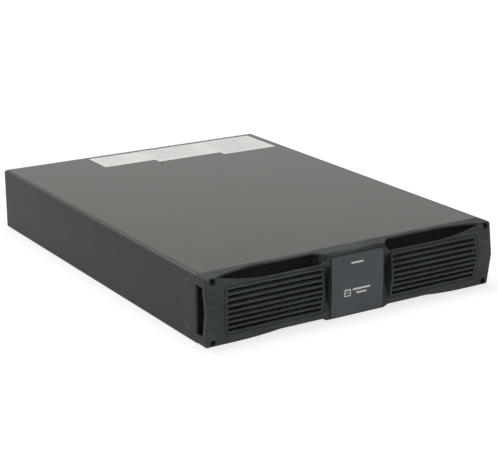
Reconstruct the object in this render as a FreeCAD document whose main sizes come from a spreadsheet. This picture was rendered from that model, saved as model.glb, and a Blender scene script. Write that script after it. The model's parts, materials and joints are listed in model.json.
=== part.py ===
import FreeCAD, Part
import math
import os
import re
import Sketcher
from FreeCAD import Placement, Rotation, Vector

# Battery pack for a rack-mounted uninterruptible power supply, two rack units high.
# Millimetres. X runs to the right seen from the front, Y to the back and Z up.
# The origin is the middle of the underside. The moulded front faces -Y.

DIMENSIONS = {
    # Case
    "case_width": 440,
    "case_height": 88,
    "case_depth": 570,
    "steel": 1.2,
    "case_corner": 4,
    "case_foot_corner": 1.8,
    "seam_inset": 4.6,
    "seam_gap": 0.8,
    "ledge_width": 12,
    "front_flange": 12.3,
    "cover_lip": 12,
    "rear_reach": 14,
    "fit_gap": 0.2,
    "overrun": 1,
    # Front moulding
    "bezel_depth": 30,
    "bezel_bulge": 6.5,
    "bezel_wall": 2.5,
    "bezel_foot_corner": 3.5,
    "bezel_edge": 3.8,
    "scoop_back": 8,
    "scoop_inner": 43.2,
    "scoop_inner_back": 58.5,
    "scoop_bend": 140,
    "scoop_tip_inset": 14,
    "scoop_outer_inset": 12,
    "scoop_drop": 11.5,
    "scoop_lip_bend": 125,
    "scoop_lip_corner": 14,
    "scoop_back_corner": 4,
    "scallop_inner": 43,
    "scallop_step": 51,
    "scallop_bend": 114,
    "scallop_outer_inset": 15,
    "scallop_rise": 4.7,
    "scallop_rim": 4,
    "end_slot_bottom": 13,
    "end_slot_drop": 12.5,
    "end_slot_front": 16,
    "end_slot_bulge": 4.6,
    "well_inset": 9.7,
    "well_low": 5.7,
    "well_drop": 5.1,
    "well_bore": 8,
    "well_floor": 6,
    "well_boss": 11,
    # Grilles
    "grille_inner": 52.4,
    "grille_outer_inset": 28,
    "grille_bow": 4.2,
    "grille_nick": 2,
    "grille_bottom": 13.6,
    "grille_drop": 14.4,
    "grille_gap": 0.8,
    "grille_flange": 2,
    "grille_flange_thick": 1.5,
    "slot_count": 8,
    "slot_margin": 1.92,
    "slot_rib": 2.9,
    "slot_frame": 2.5,
    "slot_end": 1.5,
    "slot_bow": 2.2,
    # Centre panel
    "panel_width": 80,
    "panel_bottom": 3.6,
    "panel_drop": 5,
    "panel_seat": 23,
    "panel_edge": 2.9,
    "panel_crown": 1.6,
    "panel_corner": 3.5,
    "panel_gap": 1,
    "valley_floor": 15,
    # Batteries and the drawers that hold them
    "row_count": 3,
    "battery_gap": 0.4,
    "battery_corner": 3,
    "battery_headroom": 17.9,
    "channel_width": 13.2,
    "tab_height": 4.5,
    "tab_width": 6,
    "tab_thick": 3,
    "tab_inset": 12,
    "link_thick": 1,
    "tray_wall": 1,
    "tray_drop": 6,
    "tray_start": 8,
    "divider_gap": 0.8,
    "drawer_side_gap": 1.1,
    "drawer_end_gap": 5.4,
    "sheet_thick": 0.5,
    # Drawer plug and strap
    "plug_width": 12,
    "plug_height": 16,
    "plug_inside": 9,
    "plug_gap": 2,
    "mate_depth": 14,
    "strap_width": 60,
    "strap_thick": 1.5,
    "strap_reach": 6,
    "strap_low": 20,
    "strap_height": 20,
    # Wall in front of the rear bay
    "rear_bay": 100,
    "bulkhead_flange": 16,
    # Screws and their places
    "ear_screw_y": 20,
    "guide_hole": 3,
    "guide_hole_y": 46,
    "ear_screw_low": 16.1,
    "ear_screw_drop": 13.7,
    "thread_four": 4,
    "thread_three": 3,
    "thread_clearance": 0.2,
    "thread_four_core": 3.3,
    "sunk_head": 5.6,
    "sunk_length": 4.8,
    "pan_head": 5.6,
    "pan_height": 1.8,
    "pan_length": 4.8,
    "bolt_head": 7,
    "bolt_head_height": 2.4,
    "bolt_grip": 6,
    "nut_width": 7,
    "nut_pilot": 5.4,
    "nut_length": 5,
    "bulkhead_screw_rise": 1.5,
    "cover_screw_inset": 40,
    "cover_screw_drop": 8,
    "foot_screw_side": 70,
    "foot_screw_inset": 10,
    # Labels on the cover
    "label_thick": 0.2,
    "label_rear_margin": 9,
    "label_side_margin": 15,
    "label_left_start": -83.6,
    "label_split_one": 1,
    "label_split_two": 109.4,
    "label_gap": 0.4,
    "label_left_length": 58,
    "label_middle_length": 72,
    "label_right_length": 86,
    # Rear sockets and copper bars
    "socket_share": 0.1,
    "socket_sink": 2,
    "socket_width": 50,
    "socket_height": 30,
    "socket_reach": 6,
    "socket_rim": 3,
    "socket_wall": 3,
    "socket_depth": 22,
    "blade_width": 30,
    "blade_thick": 3,
    "blade_offset": 6,
    "bar_inset": 36,
    "bar_thick": 2,
    "bar_height": 8,
    # Fuses
    "fuse_gap": 8,
    "fuse_base_length": 50,
    "fuse_base_depth": 26,
    "fuse_base_height": 20,
    "fuse_width": 14,
    # Earth stud with its hexagon collar, and vents
    "stud_inset": 30,
    "stud_z": 22,
    "stud_width": 5,
    "stud_length": 6,
    "stud_hexagon": 9,
    "stud_collar": 4,
    "stud_shank": 6,
    "stud_grip": 6.5,
    "stud_nut": 12,
    "stud_nut_height": 4,
    "vent_count": 10,
    "vent_start": -95,
    "vent_pitch": 8,
    "vent_width": 3,
    "vent_height": 30,
    # Breaker and its lever
    "breaker_share": 0.35,
    "breaker_width": 38,
    "breaker_height": 52,
    "breaker_depth": 46,
    "breaker_face_width": 30,
    "breaker_face_height": 40,
    "breaker_proud": 2,
    "lever_inset": 5,
    "lever_hub": 12,
    "lever_gap": 0.4,
    "lever_width": 12,
    "lever_thick": 5,
    "lever_gate": 9,
    "lever_swing": 40,
    "pin_width": 3,
    "pin_clearance": 0.05,
}

doc = FreeCAD.newDocument("battery_pack")
sheet = doc.addObject("Spreadsheet::Sheet", "Sizes")
for row, (name, number) in enumerate(DIMENSIONS.items(), start=1):
    sheet.set(f"A{row}", name)
    sheet.set(f"B{row}", str(number))
    sheet.setAlias(f"B{row}", name)
doc.recompute()

PIECES = {}
NEAR = 1e-6
AXES = {"x": Vector(1, 0, 0), "y": Vector(0, 1, 0), "z": Vector(0, 0, 1)}
NAMES = "|".join(sorted(DIMENSIONS, key=len, reverse=True))
ALIAS = re.compile(rf"(?<![A-Za-z_.])({NAMES})(?![A-Za-z_])")


def bound(text):
    """The same expression with every size read from the sheet."""
    return ALIAS.sub(r"Sizes.\1", str(text))


def size(text):
    """The number that an expression has now."""
    return float(sheet.evalExpression(str(text)))


def seat(thing, x=0, y=0, z=0, turn=None):
    """Place a thing at three expressions, with an optional turn."""
    if turn is not None:
        thing.Placement = Placement(Vector(), turn)
    for axis, text in (("x", x), ("y", y), ("z", z)):
        if str(text) != "0":
            thing.setExpression(f".Placement.Base.{axis}", bound(text))
    return thing


def block(name, x, y, z):
    """A box between two expressions along each axis."""
    thing = doc.addObject("Part::Box", name)
    for side, (low, high) in (("Length", x), ("Width", y), ("Height", z)):
        thing.setExpression(side, bound(f"({high}) - ({low})"))
    return seat(thing, x[0], y[0], z[0])


def rod(name, radius, axis, reach, centre):
    """A cylinder along an axis, from reach[0] to reach[1], round the other two coordinates."""
    thing = doc.addObject("Part::Cylinder", name)
    thing.setExpression("Radius", bound(radius))
    thing.setExpression("Height", bound(f"({reach[1]}) - ({reach[0]})"))
    turn = Rotation(Vector(0, 0, 1), AXES[axis])
    if axis == "x":
        return seat(thing, reach[0], centre[0], centre[1], turn)
    if axis == "y":
        return seat(thing, centre[0], reach[0], centre[1], turn)
    return seat(thing, centre[0], centre[1], reach[0], turn)


def origin_plane(body, role):
    return next(item for item in body.Origin.OriginFeatures if item.Role == role)


def outline(sketch, corners, arcs):
    """Closed outline through the corners. arcs maps a corner's index to the centre's first
    coordinate, for a round stretch from that corner to the next one."""
    spots = [Vector(size(a), size(b), 0) for a, b in corners]
    edges = []
    for index, start in enumerate(spots):
        end = spots[(index + 1) % len(spots)]
        if index not in arcs:
            edges.append((sketch.addGeometry(Part.LineSegment(start, end), False), 1, 2))
            continue
        across = size(arcs[index])
        middle = (start + end) * 0.5
        run = end - start
        rise = middle.y - run.x * (across - middle.x) / run.y
        centre = Vector(across, rise, 0)
        radius = (start - centre).Length
        first = math.atan2(start.y - rise, start.x - across)
        last = math.atan2(end.y - rise, end.x - across)
        forward = (last - first) % (2 * math.pi) < math.pi
        low, high = (first, last) if forward else (last, first)
        circle = Part.Circle(centre, Vector(0, 0, 1), radius)
        geometry = sketch.addGeometry(Part.ArcOfCircle(circle, low, high), False)
        edges.append((geometry, 1, 2) if forward else (geometry, 2, 1))
        row = sketch.addConstraint(Sketcher.Constraint("DistanceX", -1, 1, geometry, 3, across))
        sketch.setExpression(f"Constraints[{row}]", bound(arcs[index]))
    for index, (geometry, start, end) in enumerate(edges):
        after = edges[(index + 1) % len(edges)]
        sketch.addConstraint(Sketcher.Constraint("Coincident", geometry, end, after[0], after[1]))
    for (geometry, start, _), (a, b), spot in zip(edges, corners, spots):
        for kind, text, number in (("DistanceX", a, spot.x), ("DistanceY", b, spot.y)):
            row = sketch.addConstraint(Sketcher.Constraint(kind, -1, 1, geometry, start, number))
            sketch.setExpression(f"Constraints[{row}]", bound(text))


PLANES = {"x": "YZ_Plane", "y": "XZ_Plane", "z": "XY_Plane"}


def prism(name, axis, reach, corners, arcs=None, rounds=()):
    """A padded sketch along an axis from reach[0] to reach[1]. Its corners are pairs of
    expressions in the other two coordinates. rounds holds (radius, test of an edge)."""
    body = doc.addObject("PartDesign::Body", name)
    sketch = body.newObject("Sketcher::SketchObject", name + "_outline")
    sketch.AttachmentSupport = [(origin_plane(body, PLANES[axis]), "")]
    sketch.MapMode = "FlatFace"
    outline(sketch, corners, arcs or {})
    pad = body.newObject("PartDesign::Pad", name + "_pad")
    pad.Profile = sketch
    pad.setExpression("Length", bound(f"({reach[1]}) - ({reach[0]})"))
    pad.Reversed = axis == "y"
    sketch.Visibility = False
    body.setExpression(f".Placement.Base.{axis}", bound(reach[0]))
    doc.recompute()
    for radius, test in rounds:
        before = body.Tip
        names = [f"Edge{n}" for n, edge in enumerate(before.Shape.Edges, start=1) if test(edge)]
        rounding = body.newObject("PartDesign::Fillet", name + "_round")
        rounding.Base = (before, names)
        rounding.setExpression("Radius", bound(radius))
        body.Tip = rounding
        doc.recompute()
    return body


def along(axis):
    """True for a straight edge that lies along an axis."""
    way = AXES[axis]

    def test(edge):
        if not isinstance(edge.Curve, Part.Line):
            return False
        return abs(abs(edge.Curve.Direction.dot(way)) - 1) < NEAR

    return test


def join(name, things):
    thing = doc.addObject("Part::MultiFuse", name)
    thing.Shapes = things
    thing.Refine = True
    return thing


def carve(name, base, tools):
    """The base with the tools cut away."""
    thing = doc.addObject("Part::Cut", name)
    thing.Base = base
    thing.Tool = tools[0] if len(tools) == 1 else join(name + "_tools", tools)
    thing.Refine = True
    return thing


def rounded(name, base, radius, test):
    """The base with the edges that pass a test rounded."""
    doc.recompute()
    thing = doc.addObject("Part::Fillet", name)
    thing.Base = base
    thing.Edges = [(number, size(radius), size(radius))
                   for number, edge in enumerate(base.Shape.Edges, start=1) if test(edge)]
    return thing


def common(name, first, second):
    thing = doc.addObject("Part::Common", name)
    thing.Base = first
    thing.Tool = second
    return thing


def group(name, things):
    """Separate solids that share one node."""
    thing = doc.addObject("Part::Compound", name)
    thing.Links = things
    return thing


def keep(label, thing):
    """Name a finished sub-part, which is then written to a file of that name."""
    thing.Label = label
    PIECES[label] = thing
    return thing


# Planes that several pieces share
HALF = "case_width / 2"
FRONT = "((bezel_depth - case_depth - rear_reach) / 2)"
BACK = f"({FRONT} + case_depth)"
INSIDE = f"({HALF} - steel)"
COVER_UNDER = "(case_height - steel)"
COVER_HALF = f"({HALF} - seam_inset - seam_gap)"
LEDGE_UNDER = "(case_height - 2 * steel)"
MIDDLE = "(case_height / 2)"
AHEAD = f"({FRONT} - 2 * bezel_depth)"
BULKHEAD = f"({BACK} - rear_bay)"
WELL_X = f"({HALF} - well_inset)"


ALL_THROUGH = (f"({FRONT} - overrun)", f"({BACK} + overrun)")


def behind(text):
    """A place behind the case's front plane."""
    return f"({FRONT} + ({text}))"


def mirrored(sign, low, high):
    """The two ends of a span on the right (1) or on the left (-1), in rising order."""
    return (f"({low})", f"({high})") if sign > 0 else (f"(-({high}))", f"(-({low}))")


# Front moulding
SCOOP_LIP = "(case_height - scoop_drop)"


def front_wedge(name, inset):
    """The moulding's pointed side profile, set back by an inset."""
    low, high = "0", "case_height"
    edge = f"({FRONT} - (bezel_depth - bezel_bulge - {inset}))"
    crease = f"({FRONT} - (bezel_depth - {inset}))"
    corners = [(FRONT, low), (edge, low), (crease, MIDDLE), (edge, high), (FRONT, high)]
    return prism(name, "x", (f"-{HALF}", HALF), corners)


def scoop(name, sign):
    """A finger opening over a grille. Its inner end is slanted, its back edge and its front lip
    both end in a round stretch, and the lip rises in a large round corner beside the panel."""
    tip = f"({FRONT} - (bezel_depth - bezel_bulge))"
    back = f"({FRONT} - scoop_back)"
    above = "(case_height + scoop_lip_corner)"
    tip_place, outer_place = f"{HALF} - scoop_tip_inset", f"{HALF} - scoop_outer_inset"
    x = [f"{sign} * ({text})" for text in
         ("scoop_inner", "scoop_inner_back", "scoop_bend", tip_place, "scoop_lip_bend", outer_place)]
    inner, inner_back, bend, tip_x, lip_bend, outer = x
    plan = [(inner, AHEAD), (inner, tip), (inner_back, back), (bend, back), (tip_x, tip), (tip_x, AHEAD)]
    front = [(inner, above), (inner, SCOOP_LIP), (lip_bend, SCOOP_LIP),
             (outer, "case_height"), (outer, above)]

    def corner(axis, place):
        straight = along(axis)
        return lambda edge: straight(edge) and abs(edge.CenterOfMass.x - size(place)) < NEAR

    def lip_corner(edge):
        return corner("y", inner)(edge) and edge.CenterOfMass.z < size("case_height")

    return common(
        name,
        prism(name + "_plan", "z", (f"({SCOOP_LIP} - overrun)", above), plan, {3: bend},
              [("scoop_back_corner", corner("z", inner_back))]),
        prism(name + "_front", "y", (AHEAD, FRONT), front, {2: lip_bend},
              [("scoop_lip_corner", lip_corner)]))


def scallop(name, sign):
    """The shallow lift of the lower edge under a grille."""
    x = [f"{sign} * ({text})" for text in
         ("scallop_inner", "scallop_step", "scallop_bend", f"{HALF} - scallop_outer_inset")]
    inner, step, bend, outer = x
    corners = [(inner, "-overrun"), (inner, "0"), (step, "scallop_rise"), (bend, "scallop_rise"),
               (outer, "0"), (outer, "-overrun")]
    return prism(name, "y", (AHEAD, f"({FRONT} - scallop_rim)"), corners, {3: outer})


GRILLE_TOP = "(case_height - grille_drop)"
GRILLE_HEIGHT = f"({GRILLE_TOP} - grille_bottom)"
GRILLE_MIDDLE = f"(grille_bottom + {GRILLE_HEIGHT} / 2)"
GRILLE_OUTER = f"({HALF} - grille_outer_inset)"
SLOT_PITCH = f"(({GRILLE_HEIGHT} - 2 * slot_margin) / slot_count)"
VALLEY_EDGE = f"(bezel_depth - bezel_bulge * {GRILLE_HEIGHT} / case_height)"
VALLEY_RISE = f"({VALLEY_EDGE} - valley_floor)"
VALLEY_RADIUS = f"(({GRILLE_HEIGHT} ^ 2 / 4 + {VALLEY_RISE} ^ 2) / (2 * {VALLEY_RISE}))"
VALLEY_INNER = "(panel_width / 2 + panel_gap)"
VALLEY_OUTER = "(grille_inner - grille_gap)"
HOLLOW_FLOOR = "(scallop_rise + bezel_wall)"
HOLLOW_ROOF = "(case_height - bezel_wall)"
HOLLOW_HALF = f"({HALF} - bezel_wall)"
WELLS = [(f"({sign} * {WELL_X})", z) for sign in (-1, 1) for z in ("well_low", "(case_height - well_drop)")]
WELL_HOLE = "((thread_four + thread_clearance) / 2)"


def grille_outline(name, sign, reach, grow="0", inward="0"):
    """The area of a grille seen from the front, with its outer side slightly bowed. It can be
    larger all round but for its inner side, which has a margin of its own."""
    inner = f"{sign} * (grille_inner - {inward})"
    outer = f"{GRILLE_OUTER} + {grow}"
    low = f"grille_bottom - {grow}"
    high = f"{GRILLE_TOP} + {grow}"
    nick = "2 * grille_nick"
    corners = [
        (inner, low), (f"{sign} * ({outer})", low),
        (f"{sign} * ({outer} + grille_nick)", f"{low} + {nick}"),
        (f"{sign} * ({outer} + grille_bow)", GRILLE_MIDDLE),
        (f"{sign} * ({outer} + grille_nick)", f"{high} - {nick}"),
        (f"{sign} * ({outer})", high), (inner, high)]
    return prism(name, "y", reach, corners)


def make_bezel():
    rectangle = [(f"-{HALF}", "0"), (HALF, "0"), (HALF, "case_height"), (f"-{HALF}", "case_height")]
    upright = along("y")
    face = prism("bezel_face", "y", (AHEAD, FRONT), rectangle, None, [
        ("case_corner", lambda edge: upright(edge) and edge.CenterOfMass.z > size(MIDDLE)),
        ("bezel_foot_corner", lambda edge: upright(edge) and edge.CenterOfMass.z < NEAR)])
    squared = common("bezel_squared", front_wedge("bezel_wedge", "0"), face)

    def front_end(edge):
        middle = edge.CenterOfMass
        at_side = abs(middle.x) > size(f"{HALF} - bezel_foot_corner")
        return at_side and middle.y < size(f"{FRONT} - bezel_depth / 2")

    outside = rounded("bezel_outside", squared, "bezel_edge", front_end)
    tools = []
    for sign, side in ((1, "right"), (-1, "left")):
        across = mirrored(sign, VALLEY_OUTER, HOLLOW_HALF)
        hollow = common(f"{side}_hollow", front_wedge(f"{side}_inner_wedge", "bezel_wall"),
                        block(f"{side}_hollow_box", across, (AHEAD, FRONT), (HOLLOW_FLOOR, HOLLOW_ROOF)))
        bosses = [rod(f"{side}_boss_{index}", "well_boss / 2", "y", (AHEAD, FRONT), (x, z))
                  for index, (x, z) in enumerate(WELLS) if (index < 2) == (sign < 0)]
        tools.append(carve(f"{side}_hollow_cut", hollow, bosses))
        tools.append(scoop(f"{side}_scoop", sign))
        tools.append(scallop(f"{side}_scallop", sign))
        tools.append(grille_outline(f"{side}_aperture", sign, (AHEAD, f"({FRONT} - valley_floor)"),
                                    "grille_gap", "grille_gap"))
        tools.append(rod(f"{side}_valley", VALLEY_RADIUS, "x", mirrored(sign, VALLEY_INNER, VALLEY_OUTER),
                         (f"({FRONT} - valley_floor - {VALLEY_RADIUS})", GRILLE_MIDDLE)))
        front = f"({FRONT} - end_slot_front)"
        corners = [(FRONT, "end_slot_bottom"), (front, "end_slot_bottom"),
                   (f"{front} - end_slot_bulge", "(end_slot_bottom + case_height - end_slot_drop) / 2"),
                   (front, "case_height - end_slot_drop"), (FRONT, "case_height - end_slot_drop")]
        across = mirrored(sign, f"{HOLLOW_HALF} - overrun", f"{HALF} + overrun")
        tools.append(prism(f"{side}_end_slot", "x", across, corners))
    inner = f"({VALLEY_OUTER} - bezel_wall)"
    tools.append(block("middle_hollow", (f"-{inner}", inner),
                       (f"({FRONT} - valley_floor + bezel_wall)", FRONT), (HOLLOW_FLOOR, HOLLOW_ROOF)))
    core = "(panel_width / 2 - bezel_wall)"
    tools.append(block("core_hollow", (f"-{core}", core), (f"({FRONT} - panel_seat + bezel_wall)", FRONT),
                       (HOLLOW_FLOOR, f"({SCOOP_LIP} - bezel_wall)")))
    tools.append(block("door_room", (f"-{HOLLOW_HALF}", HOLLOW_HALF), (f"({FRONT} - steel)", FRONT),
                       (HOLLOW_FLOOR, HOLLOW_ROOF)))
    recess_low, recess_high = "(panel_bottom - panel_gap)", "(case_height - panel_drop + panel_gap)"
    recess = [(f"-{VALLEY_INNER}", recess_low), (VALLEY_INNER, recess_low),
              (VALLEY_INNER, recess_high), (f"-{VALLEY_INNER}", recess_high)]
    tools.append(prism("panel_recess", "y", (AHEAD, f"({FRONT} - panel_seat)"), recess, None,
                       [("panel_corner + panel_gap", upright)]))
    for index, (x, z) in enumerate(WELLS):
        tools.append(rod(f"well_{index}", "well_bore / 2", "y", (AHEAD, f"({FRONT} - well_floor)"), (x, z)))
        tools.append(rod(f"well_hole_{index}", WELL_HOLE, "y", (AHEAD, f"({FRONT} + overrun)"), (x, z)))
    keep("front_bezel", carve("bezel", outside, tools))


def make_grilles():
    for sign, side in ((1, "right"), (-1, "left")):
        skin = carve(f"{side}_grille_skin", front_wedge(f"{side}_grille_outer", "0"),
                     [front_wedge(f"{side}_grille_inner", "bezel_wall")])
        plate = common(f"{side}_grille_plate", skin,
                       grille_outline(f"{side}_grille_face", sign, (AHEAD, FRONT)))
        behind_skin = carve(f"{side}_flange_skin", front_wedge(f"{side}_flange_outer", "bezel_wall"),
                            [front_wedge(f"{side}_flange_inner", "(bezel_wall + grille_flange_thick)")])
        flange = common(f"{side}_grille_flange", behind_skin,
                        grille_outline(f"{side}_flange_face", sign, (AHEAD, FRONT), "grille_flange"))
        end = common(f"{side}_grille_end", front_wedge(f"{side}_end_wedge", "0"), block(
            f"{side}_end_box", mirrored(sign, "grille_inner", "grille_inner + grille_flange_thick"),
            (AHEAD, f"({FRONT} - valley_floor + bezel_wall)"), ("grille_bottom", GRILLE_TOP)))
        slots = []
        count = int(size("slot_count"))
        for index in range(count):
            level = f"({GRILLE_MIDDLE} + ({index} - (slot_count - 1) / 2) * {SLOT_PITCH})"
            rise = f"({SLOT_PITCH} - slot_rib) / 2"
            bow = f"slot_bow * (1 - abs(2 * {index} / (slot_count - 1) - 1))"
            across = mirrored(sign, "grille_inner + slot_frame", f"{GRILLE_OUTER} - slot_end + {bow}")
            slots.append(block(f"{side}_slot_{index}", across, (AHEAD, f"({FRONT} - valley_floor)"),
                               (f"{level} - {rise}", f"{level} + {rise}")))
        whole = join(f"{side}_grille_solid", [plate, flange, end])
        keep(f"{side}_grille", carve(f"grille_{side}", whole, slots))


def make_centre_panel():
    back = f"({FRONT} - panel_seat)"
    edge = f"({back} - panel_edge)"
    low, high = "panel_bottom", "(case_height - panel_drop)"
    half = "(panel_width / 2)"
    radius = f"((({high} - {low}) ^ 2 / 4 + panel_crown ^ 2) / (2 * panel_crown))"
    centre = f"({edge} - panel_crown + {radius})"
    crowned = prism("panel_profile", "x", (f"-{half}", half),
                    [(back, low), (edge, low), (edge, high), (back, high)], {1: centre})
    face = prism("panel_face", "y", (AHEAD, FRONT),
                 [(f"-{half}", low), (half, low), (half, high), (f"-{half}", high)], None,
                 [("panel_corner", along("y"))])
    keep("centre_panel", common("panel", crowned, face))


def spindle(name, axis, way, start, steps, centre):
    """Coaxial stretches (first radius, last radius, length), from a start along an axis.
    way is 1 or -1. centre holds the two other coordinates."""
    pieces = []
    reached = start
    turn = Rotation(Vector(0, 0, 1), AXES[axis] * way)
    for index, (first, last, length) in enumerate(steps):
        kind = "Part::Cylinder" if first == last else "Part::Cone"
        thing = doc.addObject(kind, f"{name}_{index}")
        if first == last:
            thing.setExpression("Radius", bound(first))
        else:
            thing.setExpression("Radius1", bound(first))
            thing.setExpression("Radius2", bound(last))
        thing.setExpression("Height", bound(length))
        spot = {"x": (reached, *centre), "y": (centre[0], reached, centre[1]), "z": (*centre, reached)}
        pieces.append(seat(thing, *spot[axis], turn))
        reached = f"({reached} + {way} * ({length}))"
    return pieces[0] if len(pieces) == 1 else join(name, pieces)


# Screws: where each set goes. A countersunk head is flush with the sheet that it holds.
BULKHEAD_SCREW_Y = f"({BULKHEAD} + bulkhead_flange / 2)"
SIDE_SCREW = (BULKHEAD_SCREW_Y, f"({MIDDLE} + bulkhead_screw_rise)")
LIP_SCREWS = [(f"({place} * ({HALF} - cover_screw_inset))", "(case_height - cover_screw_drop)")
              for place in (-1, 0, 1)]
FOOT_SCREWS = [(f"({place} * ({HALF} - foot_screw_side))", f"({BACK} - foot_screw_inset)")
               for place in (-1, 0, 1)]
EAR_HOLES = [(sign, (behind("ear_screw_y"), level))
             for sign in (-1, 1) for level in ("ear_screw_low", "(case_height - ear_screw_drop)")]
GUIDE_HOLE = (behind("guide_hole_y"), MIDDLE)
DOOR_SCREWS = [(f"({sign} * {WELL_X})", MIDDLE) for sign in (-1, 1)]
SMALL_HOLE = "((thread_three + thread_clearance) / 2)"
SMALL_SHANK = "(thread_three / 2)"
THROUGH_ALL = [(SMALL_HOLE, SMALL_HOLE, "4 * steel")]
SUNK_HOLE = [("((sunk_head + thread_clearance) / 2)", SMALL_HOLE, "steel"),
             (SMALL_HOLE, SMALL_HOLE, "2 * steel")]
SUNK_SCREW = [("sunk_head / 2", SMALL_SHANK, "steel"), (SMALL_SHANK, SMALL_SHANK, "sunk_length")]
PAN_SCREW = [("pan_head / 2", "pan_head / 2", "pan_height"), (SMALL_SHANK, SMALL_SHANK, "pan_length")]


def sunk_places(name, steps):
    """The flush screws of the bulkhead: one in each side and one in the cover."""
    sides = [spindle(f"{name}_side_{index}", "x", -sign, f"({sign} * {HALF})", steps, SIDE_SCREW)
             for index, sign in enumerate((-1, 1))]
    return sides, spindle(f"{name}_top", "z", -1, "case_height", steps, ("0", BULKHEAD_SCREW_Y))


def foot_places(name, steps):
    return [spindle(f"{name}_foot_{index}", "z", 1, "0", steps, spot)
            for index, spot in enumerate(FOOT_SCREWS)]


def make_case():
    low, high = "0", "case_height"
    top = along("y")

    def upper(edge):
        return top(edge) and edge.CenterOfMass.z > size(MIDDLE)

    def lower(edge):
        return top(edge) and edge.CenterOfMass.z < size(MIDDLE)

    outside = prism("case_outside", "y", (FRONT, BACK),
                    [(f"-{HALF}", low), (HALF, low), (HALF, high), (f"-{HALF}", high)], None,
                    [("case_corner", upper), ("case_foot_corner", lower)])
    inside = prism("case_inside", "y", ALL_THROUGH,
                   [(f"-{INSIDE}", "steel"), (INSIDE, "steel"),
                    (INSIDE, COVER_UNDER), (f"-{INSIDE}", COVER_UNDER)],
                   None, [("(case_corner - steel)", upper)])
    mouth = f"({HALF} - seam_inset)"
    opening = block("case_mouth", (f"-{mouth}", mouth), ALL_THROUGH,
                    (f"({COVER_UNDER} - steel / 2)", "(case_height + overrun)"))
    shell = carve("case_shell", outside, [inside, opening])
    walls = [shell]
    for sign, side in ((1, "right"), (-1, "left")):
        walls.append(block(f"{side}_ledge", mirrored(sign, f"{mouth} - ledge_width", f"{mouth} + steel"),
                           (FRONT, BACK), (LEDGE_UNDER, COVER_UNDER)))
        walls.append(block(f"{side}_front_flange", mirrored(sign, f"{INSIDE} - front_flange", INSIDE),
                           (FRONT, behind("steel")), ("steel", LEDGE_UNDER)))
    flange = (f"({FRONT} - overrun)", behind("2 * steel"))
    holes = [rod(f"case_well_{index}", WELL_HOLE, "y", flange, spot) for index, spot in enumerate(WELLS)]
    holes += [rod(f"case_door_{index}", SMALL_HOLE, "y", flange, spot)
              for index, spot in enumerate(DOOR_SCREWS)]
    for index, (sign, spot) in enumerate(EAR_HOLES):
        holes.append(spindle(f"case_ear_{index}", "x", -sign, f"({sign} * {HALF})",
                             [("nut_pilot / 2", "nut_pilot / 2", "steel")], spot))
    # A small hole in each side lines the case up with its rack shelf
    holes += [spindle(f"case_guide_{index}", "x", -sign, f"({sign} * {HALF})",
                      [("guide_hole / 2", "guide_hole / 2", "steel")], GUIDE_HOLE)
              for index, sign in enumerate((-1, 1))]
    holes += sunk_places("case_sunk", SUNK_HOLE)[0] + foot_places("case", SUNK_HOLE)
    keep("chassis_tray", carve("case", join("case_walls", walls), holes))

    plate = block("cover_plate", (f"-{COVER_HALF}", COVER_HALF), (FRONT, BACK), (COVER_UNDER, "case_height"))
    lip = block("cover_lip_wall", (f"-{COVER_HALF}", COVER_HALF), (f"({BACK} - steel)", BACK),
                ("(case_height - cover_lip)", "case_height"))
    # The lip is notched round the case's two ledges
    lip_reach = (f"({BACK} - 2 * steel)", f"({BACK} + overrun)")
    notches = [block(f"cover_notch_{side}", mirrored(sign, f"{mouth} - ledge_width - seam_gap", HALF),
                     lip_reach, ("0", COVER_UNDER))
               for sign, side in ((1, "right"), (-1, "left"))]
    lip_cut = carve("cover_lip_cut", lip, notches)
    holes = [rod(f"cover_hole_{index}", SMALL_HOLE, "y", lip_reach, spot)
             for index, spot in enumerate(LIP_SCREWS)]
    holes.append(sunk_places("cover_sunk", SUNK_HOLE)[1])
    keep("top_cover", carve("cover", join("cover_folded", [plate, lip_cut]), holes))


def window(name, x, width, height, reach):
    """A cut for a rear fitting, which has a small gap all round."""
    across, up = f"({width} / 2 + fit_gap)", f"({height} / 2 + fit_gap)"
    return block(name, (f"({x} - {across})", f"({x} + {across})"), reach,
                 (f"({REAR_LEVEL} - {up})", f"({REAR_LEVEL} + {up})"))


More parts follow.
